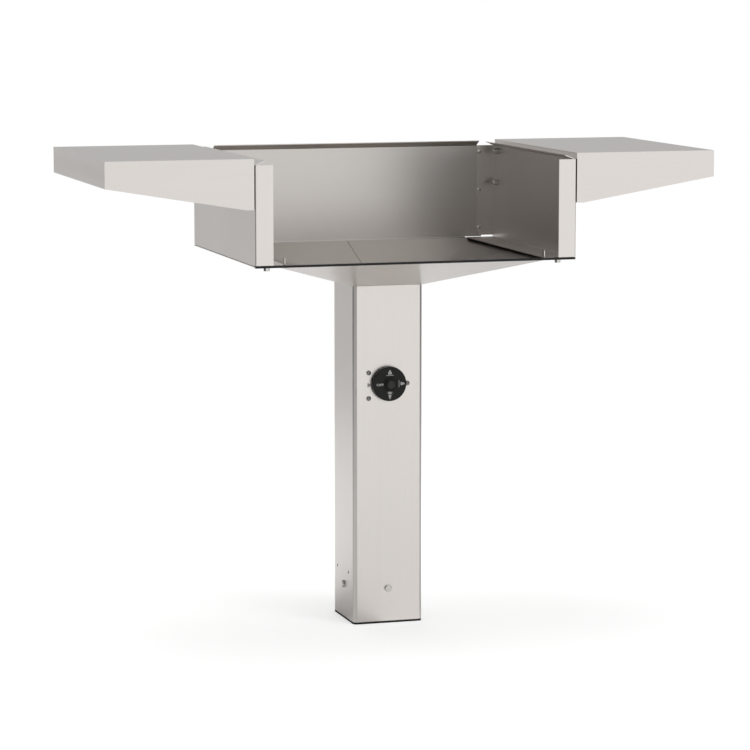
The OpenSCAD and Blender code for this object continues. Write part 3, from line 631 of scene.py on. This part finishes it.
def hex_head_stock(head, head_h, shank, length, pitch):
    """Hexagon head with a washer face on a threaded shank; the head sits on z = 0."""
    bolt = turned(threaded(shank, length, -head_h * 0.1, pitch) + [(0, 0)], 24)
    washer = turned([(0, 0), (head * 0.86, 0), (head * 0.86, head_h * 0.08), (0, head_h * 0.08)], 32)
    body = prism(hexagon(head), head_h * 0.08, head_h * 0.95, 0.05)
    top = turned([(0, head_h * 0.9), (head * 0.8, head_h * 0.9), (head * 0.72, head_h), (0, head_h)], 32)
    return smooth(new_object("stock", joined([bolt, washer, body, top], "stock")))


def stud_stock(radius, length, pitch):
    """Threaded stud with a chamfered end, hanging from z = 0."""
    return smooth(built("stock", turned(threaded(radius, length, -radius * 0.5, pitch) + [(0, 0)], 24)))


def nut_stock(radius, thick, bore):
    """Hexagon nut with chamfered corners and an open bore; it sits on z = 0."""
    hole = turned([(0, -thick), (bore, -thick), (bore, thick * 2), (0, thick * 2)], 24)
    return smooth(cut_away(built("stock", prism(hexagon(radius), 0, thick, 0.06)), mesh_from(hole, "hole")))


def cap_nut_stock(radius, thick, dome, reach):
    """Acorn nut: hexagon base with a polished dome; it sits on z = 0."""
    outline = [(0, thick * 0.9), (dome, thick * 0.9), (dome, reach)]
    outline += arc((0, reach), dome, 10, 80, 7) + [(0, reach + dome)]
    return smooth(new_object("stock", joined([prism(hexagon(radius), 0, thick, 0.05), turned(outline, 32)], "stock")))


def face_axis(point):
    """The axis, 0 or 1, across the post's face that a point is nearest to."""
    return 0 if abs(point.x) > abs(point.y) else 1


def seats(node, tail, axis, way):
    """Place and direction of a fastener in each solid of a node, set off from the box's end by its tail."""
    found = []
    for low, high in islands(node):
        place = (low + high) / 2
        across = face_axis(place) if axis is None else axis
        outward = math.copysign(1, place[across])
        towards = {"plus": 1, "minus": -1, "out": outward, "in": -outward}[way]
        place[across] = low[across] + tail if towards > 0 else high[across] - tail
        direction = Vector((0, 0, 0))
        direction[across] = towards
        found.append((place, direction))
    return found


def fastener_set(name, node, stock, axis, way, material="bright", slot="bright_steel", loose=False):
    """Copies one fastener to every solid of a node and stands for that node."""
    settings = bpy.context.scene.pedestal_fasteners
    places = seats(node, -min(v.co.z for v in stock.data.vertices), axis, way)
    mesh = bpy.data.meshes.new(name)
    mesh.from_pydata([place for place, _ in places], [], [])
    directions = mesh.attributes.new("axis", "FLOAT_VECTOR", "POINT")
    for item, (_, direction) in zip(directions.data, places):
        item.vector = direction
    obj = new_object(name, mesh)
    grow(obj, bpy.data.node_groups.get("Fastener set") or fastener_tree(), {
        "Fastener": stock, "Turn": settings.turn if loose else 0.0, "Seed": settings.seed,
        "Material": MATERIALS[material]})
    stock_mesh = stock.data
    bpy.data.objects.remove(stock)
    bpy.data.meshes.remove(stock_mesh)
    if "axis" in obj.data.attributes:
        obj.data.attributes.remove(obj.data.attributes["axis"])
    ready(obj, "pedestal", material, slot, node)


# Operators


class PEDESTAL_OT_post(bpy.types.Operator):
    """Draw the folded square post with its holes"""
    bl_idname = "pedestal.post"
    bl_label = "Post"

    def execute(self, context):
        settings = context.scene.pedestal_post
        low, high = POST
        obj = new_object("post_tube", bpy.data.meshes.new("post_tube"))
        grow(obj, post_tree(), {
            "Width": high.x - low.x, "Wall": settings.wall, "Bend Radius": settings.bend,
            "Bend Steps": settings.bend_steps, "Foot": low.z, "Length": high.z - low.z,
            "Material": MATERIALS["post"]})
        if len(obj.data.vertices) < 80:
            raise RuntimeError("the post's outline was not filled")
        bolt_hole, screw_hole, bush_hole = 0.0043, 0.0028, 0.0093
        holes = [(box, bolt_hole) for box in islands("post_base_bolts")]
        for node in ("valve_bracket_screws", "access_cover_screws"):
            holes += [(box, screw_hole) for box in islands(node)]
        holes.append((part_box("valve_bush"), bush_hole))
        cutters = []
        for box, radius in holes:
            centre = (box[0] + box[1]) / 2
            cutters.append(self.round_cutter(centre, face_axis(centre), radius))
        for side in (-1, 1):
            drain = Vector((low.x, settings.drain_back + side * settings.drain_pitch / 2, settings.drain_height))
            cutters.append(self.round_cutter(drain, 0, settings.drain_radius, 0.006, 24))
        cutters.append(self.cover_cutter(settings.cover_margin))
        cut_away(obj, joined(cutters, "post_cutters"))
        bm = merged(obj.data, 0.2)
        rounded(bm, 0.0003)
        bm.to_mesh(obj.data)
        bm.free()
        ready(smooth(obj, 50), "pedestal", "post", "brushed_steel", "post")
        return {"FINISHED"}

    def round_cutter(self, centre, axis, radius, reach=0.012, steps=32):
        bm = turned([(0, -reach), (radius, -reach), (radius, reach), (0, reach)], steps)
        turn = Matrix.Rotation(math.radians(90), 4, "Y") if axis == 0 else UPRIGHT
        bm.transform(Matrix.Translation(centre) @ turn)
        return bm

    def cover_cutter(self, margin):
        low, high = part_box("rear_access_cover")
        left, right, back = low.x + margin, high.x - margin, POST[1].y
        outline = [(left, back - 0.004), (right, back - 0.004), (right, back + 0.004), (left, back + 0.004)]
        return prism(outline, low.z + margin, high.z - margin)


class PEDESTAL_OT_cradle(bpy.types.Operator):
    """Finish the funnel, the three cradle panels and the black edge strip"""
    bl_idname = "pedestal.cradle"
    bl_label = "Funnel and Cradle"

    def execute(self, context):
        edge = context.scene.pedestal_steel.edge_round
        for node, material in (("funnel", "funnel"), ("left_side_panel", "panel"), ("right_side_panel", "panel")):
            folded_sheet(node, material, edge)
        folded_sheet("rear_panel", "rear", 0.0007)
        folded_sheet("front_edge_trim", "trim", 0.0004, "black_trim")
        return {"FINISHED"}


class PEDESTAL_OT_shelves(bpy.types.Operator):
    """Finish the two tapered side shelves and their spacers"""
    bl_idname = "pedestal.shelves"
    bl_label = "Side Shelves"

    def execute(self, context):
        edge = context.scene.pedestal_steel.edge_round * 1.6
        folded_sheet("left_shelf", "across", edge)
        folded_sheet("right_shelf", "across", edge)
        folded_sheet("shelf_spacers", "rubber", 0.0004, "black_trim")
        return {"FINISHED"}


class PEDESTAL_OT_base(bpy.types.Operator):
    """Finish the ground pad, socket, grommet, ring plate and access cover"""
    bl_idname = "pedestal.base"
    bl_label = "Base and Cover"

    def execute(self, context):
        for node, material, radius, slot in (
            ("base_gasket", "rubber", 0.0006, "rubber_black"), ("base_grommet", "rubber", 0.0004, "rubber_black"),
            ("base_socket", "zinc", 0.0005, "zinc_steel"), ("post_top_frame", "zinc", 0.0004, "zinc_steel"),
            ("rear_access_cover", "post", 0.0004, "brushed_steel"),
        ):
            folded_sheet(node, material, radius, slot)
        return {"FINISHED"}


class PEDESTAL_OT_fasteners(bpy.types.Operator):
    """Set every row of bolts, screws and nuts"""
    bl_idname = "pedestal.fasteners"
    bl_label = "Fasteners"

    def execute(self, context):
        pitch = context.scene.pedestal_fasteners.thread_pitch
        screw = {"head": 0.00475, "head_h": 0.0028, "shank": 0.0025, "pitch": pitch * 0.8}
        zinc = {"material": "zinc", "slot": "zinc_steel"}
        fastener_set("base_bolt_set", "post_base_bolts", flat_head_stock(
            head=0.007, head_h=0.004, edge=0.0015, shank=0.004, length=0.016, pitch=pitch * 1.25),
            None, "out", loose=True)
        fastener_set("base_nut_set", "post_base_nuts", nut_stock(radius=0.0075, thick=0.005, bore=0.0041),
                     None, "out", **zinc)
        fastener_set("knob_plate_screw_set", "valve_bracket_screws", round_head_stock(length=0.011, **screw),
                     1, "minus", material="dark_screw", loose=True)
        fastener_set("knob_plate_nut_set", "valve_bracket_nuts", nut_stock(radius=0.0046, thick=0.004, bore=0.0026),
                     1, "minus", **zinc)
        fastener_set("cover_screw_set", "access_cover_screws", round_head_stock(length=0.008, **screw),
                     1, "plus", loose=True)
        fastener_set("rear_panel_screw_set", "rear_panel_screws", round_head_stock(
            head=0.004, head_h=0.002, shank=0.002, length=0.007, pitch=pitch * 0.7), 1, "minus", loose=True)
        fastener_set("cradle_stud_set", "cradle_studs", stud_stock(radius=0.003, length=0.0105, pitch=pitch),
                     2, "plus", loose=True)
        fastener_set("cradle_nut_set", "cradle_nuts", nut_stock(radius=0.0057, thick=0.0085, bore=0.0031), 2, "plus")
        fastener_set("funnel_bolt_set", "funnel_bolts", hex_head_stock(
            head=0.007, head_h=0.005, shank=0.004, length=0.018, pitch=pitch * 1.25), 2, "plus")
        fastener_set("funnel_nut_set", "funnel_nuts", nut_stock(radius=0.007, thick=0.0065, bore=0.0041), 2, "plus")
        fastener_set("shelf_bolt_set", "shelf_bolts", hex_head_stock(
            head=0.0057, head_h=0.004, shank=0.003, length=0.0125, pitch=pitch), 0, "out")
        fastener_set("shelf_cap_nut_set", "shelf_cap_nuts", cap_nut_stock(
            radius=0.0057, thick=0.006, dome=0.0047, reach=0.008), 0, "in")
        return {"FINISHED"}


def on_knob(height, x=0.0, z=0.0, turn=0.0):
    """Matrix that takes a flat shape in X and Y to a height above the knob's back."""
    place = Matrix.Translation((KNOB_CENTRE.x + x, KNOB_FACE[1].y - height, KNOB_CENTRE.z + z))
    return place @ UPRIGHT @ Matrix.Rotation(turn, 4, "Z")


class PEDESTAL_OT_knob(bpy.types.Operator):
    """Turn the knob disc and its hub"""
    bl_idname = "pedestal.knob"
    bl_label = "Knob"

    def execute(self, context):
        settings = context.scene.pedestal_knob
        edge, bore = settings.edge, settings.bore
        radius = (KNOB_FACE[1].x - KNOB_FACE[0].x) / 2
        thick = KNOB_FACE[1].y - KNOB_FACE[0].y
        outline = [(bore, 0), (radius * 0.93, 0), (radius * 0.985, 0.0006), (radius, 0.0014)]
        outline += [(radius, thick - edge)] + arc((radius - edge, thick - edge), edge, 12, 90, 8)
        for share, depth in ((0.90, 0.00005), (0.885, KNOB_RECESS), (0.40, KNOB_RECESS), (0.385, 0.0009),
                             (0.32, 0.0009), (0.30, 0.0002), (0.2, 0.0002)):
            outline.append((radius * share, thick - depth))
        outline += [(bore, thick - 0.0002), (bore, 0)]
        self.mould("knob_disc", "control_knob", outline, 128, 0, "knob")
        hub = (KNOB_HUB[1].x - KNOB_HUB[0].x) / 2
        tall = KNOB_HUB[1].y - KNOB_HUB[0].y
        fillet, crown = 0.0016, hub * 0.74
        outline = [(bore, 0), (hub * 0.985, 0), (hub, 0.0003), (hub, 0.0012)]
        outline += arc((crown - fillet, tall - fillet), fillet, 15, 90, 8)
        outline += [(crown * 0.6, tall - 0.00015), (crown * 0.3, tall - 0.0004), (0, tall - 0.0005)]
        outline += [(0, tall * 0.72), (bore, tall * 0.72), (bore, 0)]
        self.mould("knob_boss", "knob_hub", outline, 96, thick, "hub")
        return {"FINISHED"}

    def mould(self, name, node, outline, steps, height, material):
        obj = built(name, turned(outline, steps))
        obj.data.transform(on_knob(height))
        ready(smooth(obj), "knob", material, "knob_black", node)


def flame(width, height, steps=14):
    """Outline of a flame that stands on y = 0, a drop drawn to a tip."""
    side = []
    for k in range(steps + 1):
        t = k / steps
        half = width / 2 * min(1.0, 0.6 + 2.4 * t) * (1 - t) ** 0.75
        side.append((max(half, width * 0.015), height * t))
    return [(-x, y) for x, y in side] + [(x, y) for x, y in reversed(side)]


def bar(width, low, high):
    return [(-width / 2, low), (width / 2, low), (width / 2, high), (-width / 2, high)]


def star(radius, inner, points, y, height):
    """A spark of pointed rays about (0, y), pressed to a share of its height."""
    outline = []
    for k in range(2 * points):
        reach, turn = (inner if k % 2 else radius), math.pi * k / points
        outline.append((reach * math.sin(turn), y + reach * math.cos(turn) * height))
    return outline


class PEDESTAL_OT_marks(bpy.types.Operator):
    """Print the marks on the knob and the pointer beside it"""
    bl_idname = "pedestal.marks"
    bl_label = "Knob Marks"

    def execute(self, context):
        settings = context.scene.pedestal_knob
        face = KNOB_FACE[1].y - KNOB_FACE[0].y - KNOB_RECESS
        word = self.word(settings)
        word.transform(on_knob(face + settings.print_depth / 2, x=-0.0195, z=-0.0013))
        ready(new_object("knob_closed_mark", word), "knob", "mark", "knob_black")
        plates = []
        for turn, out, outlines in (
            (0, 0.0185, [flame(0.0098, 0.0092), bar(0.0145, -0.0024, -0.0013)]),
            (-90, 0.0212, [flame(0.0080, 0.0092), bar(0.0135, -0.0036, -0.0026)]),
            (180, 0.0208, [flame(0.0070, 0.0088), star(0.0070, 0.0030, 8, -0.0036, 0.55)]),
        ):
            for outline in outlines:
                bm = prism(outline, 0, settings.print_depth)
                bmesh.ops.triangulate(bm, faces=[f for f in bm.faces if len(f.verts) > 4])
                bm.transform(on_knob(face, turn=math.radians(turn)) @ Matrix.Translation((0, out, 0)))
                plates.append(bm)
        obj = new_object("knob_flame_marks", joined(plates, "knob_flame_marks"))
        ready(obj, "knob", "mark", "knob_black")
        ready(built("pointer_mark", self.pointer(settings)), "pedestal", "pointer", "knob_black")
        return {"FINISHED"}

    def word(self, settings):
        """The word as a flat mesh of the stated width and height."""
        curve = bpy.data.curves.new("closed_word", "FONT")
        curve.body = settings.word
        curve.size = settings.word_height
        curve.align_x = curve.align_y = "CENTER"
        curve.extrude = settings.print_depth / 2
        curve.offset = settings.word_height * 0.035
        word = new_object("closed_word", curve)
        graph = bpy.context.evaluated_depsgraph_get()
        mesh = bpy.data.meshes.new_from_object(word.evaluated_get(graph))
        bpy.data.objects.remove(word)
        if not mesh.vertices:
            raise RuntimeError("the word has no outline")
        wide, high = (max(v.co[i] for v in mesh.vertices) - min(v.co[i] for v in mesh.vertices) for i in (0, 1))
        mesh.transform(Matrix.Diagonal((settings.word_width / wide, settings.word_height / high, 1, 1)))
        return mesh

    def pointer(self, settings):
        """An outlined triangle on the post that points to the knob."""
        wide, high, line = settings.pointer_width, settings.pointer_height, 0.62
        outer = [(-wide / 2, high / 2), (-wide / 2, -high / 2), (wide / 2, 0)]
        inner = [(x * (1 - line) - wide * 0.07, y * (1 - line)) for x, y in outer]
        back, front = 0, settings.print_depth
        rings = ((outer, back), (inner, back), (inner, front), (outer, front))
        bm = lofted([[(x, y, z) for x, y in ring] for ring, z in rings], closed=True)
        place = Matrix.Translation((-settings.pointer_out, POST[0].y, KNOB_CENTRE.z - 0.0021))
        bm.transform(place @ UPRIGHT)
        return bm


class PEDESTAL_OT_gas_line(bpy.types.Operator):
    """Finish the valve, its bracket and the gas line inside the post"""
    bl_idname = "pedestal.gas_line"
    bl_label = "Valve and Gas Line"

    def execute(self, context):
        for node, material, radius, slot in (
            ("valve_body", "brass", 0.0004, "brass"), ("valve_bush", "brass", 0.0003, "brass"),
            ("inlet_union", "brass", 0.0005, "brass"), ("outlet_union", "brass", 0.0005, "brass"),
            ("inlet_pipe", "copper", 0.0002, "copper"), ("outlet_pipe", "copper", 0.0002, "copper"),
            ("valve_bracket", "zinc", 0.0004, "zinc_steel"), ("igniter_unit", "igniter", 0.0004, "black_trim"),
        ):
            folded_sheet(node, material, radius, slot)
        for node, material in (("valve_stem", "brass"), ("thrust_washer", "bright")):
            for slot in SOLIDS[node].material_slots:
                slot.material = MATERIALS[material]
        wire = smooth(built("return_spring_wire", merged(SOLIDS["return_spring"].data, 0.5)), 50)
        ready(wire, "pedestal", "spring", "spring_steel", "return_spring")
        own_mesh(wire)
        return {"FINISHED"}


class PEDESTAL_OT_stage(bpy.types.Operator):
    """Set the floor, the lamps, the world and the camera"""
    bl_idname = "pedestal.stage"
    bl_label = "Stage"

    def execute(self, context):
        scene, settings = context.scene, context.scene.pedestal_stage
        bm = bmesh.new()
        bmesh.ops.create_circle(bm, cap_ends=True, segments=64, radius=settings.floor_radius)
        floor = built("studio_floor", bm)
        floor.data.materials.append(self.floor_material(settings))
        scene.world = self.world(settings)
        self.lamp("key_lamp", (2.6, -3.6, 3.0), (0, 0, 0.5), 2.4, settings.key_power)
        self.lamp("top_lamp", (-0.3, 0.6, 3.4), (0, 0, 0.3), 2.6, settings.top_power)
        camera = new_object("product_camera", bpy.data.cameras.new("product_camera"))
        camera.data.lens = settings.camera_lens
        camera.data.sensor_width = 36
        camera.data.sensor_fit = "HORIZONTAL"
        camera.data.clip_end = 60
        camera.location = settings.camera_place
        camera.rotation_euler = (math.radians(90) - settings.camera_pitch, 0, -settings.camera_yaw)
        scene.camera = camera
        scene.view_settings.view_transform = "Standard"
        return {"FINISHED"}

    def lamp(self, name, place, target, size, power):
        lamp = new_object(name, bpy.data.lights.new(name, "AREA"))
        lamp.data.size = size
        lamp.data.energy = power
        lamp.visible_glossy = False
        lamp.location = place
        lamp.rotation_euler = (Vector(target) - Vector(place)).to_track_quat("-Z", "Y").to_euler()

    def floor_material(self, settings):
        colour = tuple(settings.floor_colour)
        mat, tree, shader = base_material("studio_floor", colour, 0.0, 0.9)
        shader.inputs["Specular IOR Level"].default_value = 0.0
        dress(tree, shader, colour, spread(tree, pattern(tree, (3, 3, 3)), 0.995, 1.005))
        place = add(tree, "ShaderNodeTexCoord")
        parts = add(tree, "ShaderNodeSeparateXYZ", {"Vector": place.outputs["Object"]})
        level = times(tree, self.level_around(tree, place.outputs["Object"], settings),
                      spread(tree, parts.outputs["Y"], settings.floor_front, settings.floor_rear, -0.5, 0.5))
        path = add(tree, "ShaderNodeLightPath")
        lift = calc(tree, "ADD", times(tree, path.outputs["Is Camera Ray"], settings.floor_lift),
                    times(tree, times(tree, path.outputs["Is Glossy Ray"], settings.floor_shine), level))
        glow = add(tree, "ShaderNodeEmission", {"Color": (1, 1, 1, 1), "Strength": lift})
        both = add(tree, "ShaderNodeAddShader", {0: shader.outputs[0], 1: glow.outputs[0]})
        out = next(n for n in tree.nodes if n.bl_idname == "ShaderNodeOutputMaterial")
        tree.links.new(both.outputs[0], out.inputs["Surface"])
        return mat

    def level_around(self, tree, vector, settings):
        """Level of the studio by the angle round the pedestal, from the open front."""
        parts = add(tree, "ShaderNodeSeparateXYZ", {"Vector": vector})
        ahead = times(tree, parts.outputs["Y"], -1.0)
        turn = calc(tree, "ARCTAN2", parts.outputs["X"], ahead)
        ramp = add(tree, "ShaderNodeValToRGB", {"Fac": spread(tree, turn, 0.0, 1.0, -math.pi, math.pi)})
        strongest = 2.0
        stops = [
            (-180, settings.left_rear_level), (-158, settings.left_rear_level),
            (-146, settings.side_level * 0.6), (-100, settings.side_level * 0.6),
            (-80, settings.left_level), (-40, settings.left_level), (-28, settings.dark_level),
            (-13, settings.dark_level), (-1, settings.bright_level), (48, settings.bright_level),
            (62, settings.side_level), (118, settings.side_level),
            (146, settings.right_rear_level * 0.7), (158, settings.right_rear_level * 1.05),
            (172, settings.right_rear_level), (180, settings.left_rear_level)]
        for k, (angle, value) in enumerate(stops):
            row = ramp.color_ramp.elements
            stop = row[0] if k == 0 else row[-1] if k == len(stops) - 1 else row.new(0.5 + angle / 360)
            stop.color = (*[value / strongest] * 3, 1)
        return times(tree, ramp.outputs[0], strongest)

    def world(self, settings):
        world = bpy.data.worlds.new("studio_world")
        world.use_nodes = True
        tree = world.node_tree
        tree.nodes.clear()
        coord = add(tree, "ShaderNodeTexCoord")
        around = self.level_around(tree, coord.outputs["Generated"], settings)
        height = add(tree, "ShaderNodeSeparateXYZ", {"Vector": coord.outputs["Generated"]})
        walls = add(tree, "ShaderNodeMix", {
            "Factor": spread(tree, height.outputs["Z"], 0.0, 1.0, 0.93, 0.98),
            "A": around, "B": settings.overhead_level}, data_type="FLOAT")
        path = add(tree, "ShaderNodeLightPath")
        level = add(tree, "ShaderNodeMix", {
            "Factor": path.outputs["Is Camera Ray"], "A": walls.outputs[0], "B": 1.0}, data_type="FLOAT")
        back = add(tree, "ShaderNodeBackground", {"Color": (1, 1, 1, 1), "Strength": level.outputs[0]})
        add(tree, "ShaderNodeOutputWorld", {"Surface": back.outputs[0]})
        return world


class PEDESTAL_PT_panel(bpy.types.Panel):
    """Lists the steps that finish the pedestal"""
    bl_idname = "PEDESTAL_PT_panel"
    bl_label = "Grill Pedestal"
    bl_space_type = "VIEW_3D"
    bl_region_type = "UI"
    bl_category = "Pedestal"

    def draw(self, context):
        for step in STEPS:
            self.layout.operator(step.bl_idname)
        scene = context.scene
        for group in (scene.pedestal_steel, scene.pedestal_post, scene.pedestal_fasteners,
                      scene.pedestal_knob, scene.pedestal_stage):
            box = self.layout.box()
            for name in group.bl_rna.properties.keys():
                if name not in {"rna_type", "name"}:
                    box.prop(group, name)


SETTINGS = {
    "pedestal_steel": SteelSettings,
    "pedestal_post": PostSettings,
    "pedestal_fasteners": FastenerSettings,
    "pedestal_knob": KnobSettings,
    "pedestal_stage": StageSettings,
}
STEPS = [
    PEDESTAL_OT_post, PEDESTAL_OT_cradle, PEDESTAL_OT_shelves, PEDESTAL_OT_base,
    PEDESTAL_OT_fasteners, PEDESTAL_OT_knob, PEDESTAL_OT_marks, PEDESTAL_OT_gas_line,
    PEDESTAL_OT_stage,
]


def register():
    for cls in (*SETTINGS.values(), *STEPS, PEDESTAL_PT_panel):
        bpy.utils.register_class(cls)
    for name, cls in SETTINGS.items():
        setattr(bpy.types.Scene, name, PointerProperty(type=cls))


def unregister():
    for name in SETTINGS:
        delattr(bpy.types.Scene, name)
    for cls in reversed((*SETTINGS.values(), *STEPS, PEDESTAL_PT_panel)):
        bpy.utils.unregister_class(cls)


def main():
    register()
    make_materials(bpy.context.scene)
    bpy.ops.pedestal.post()
    bpy.ops.pedestal.cradle()
    bpy.ops.pedestal.shelves()
    bpy.ops.pedestal.base()
    bpy.ops.pedestal.fasteners()
    bpy.ops.pedestal.knob()
    bpy.ops.pedestal.marks()
    bpy.ops.pedestal.gas_line()
    bpy.ops.pedestal.stage()


if __name__ == "__main__":
    main()
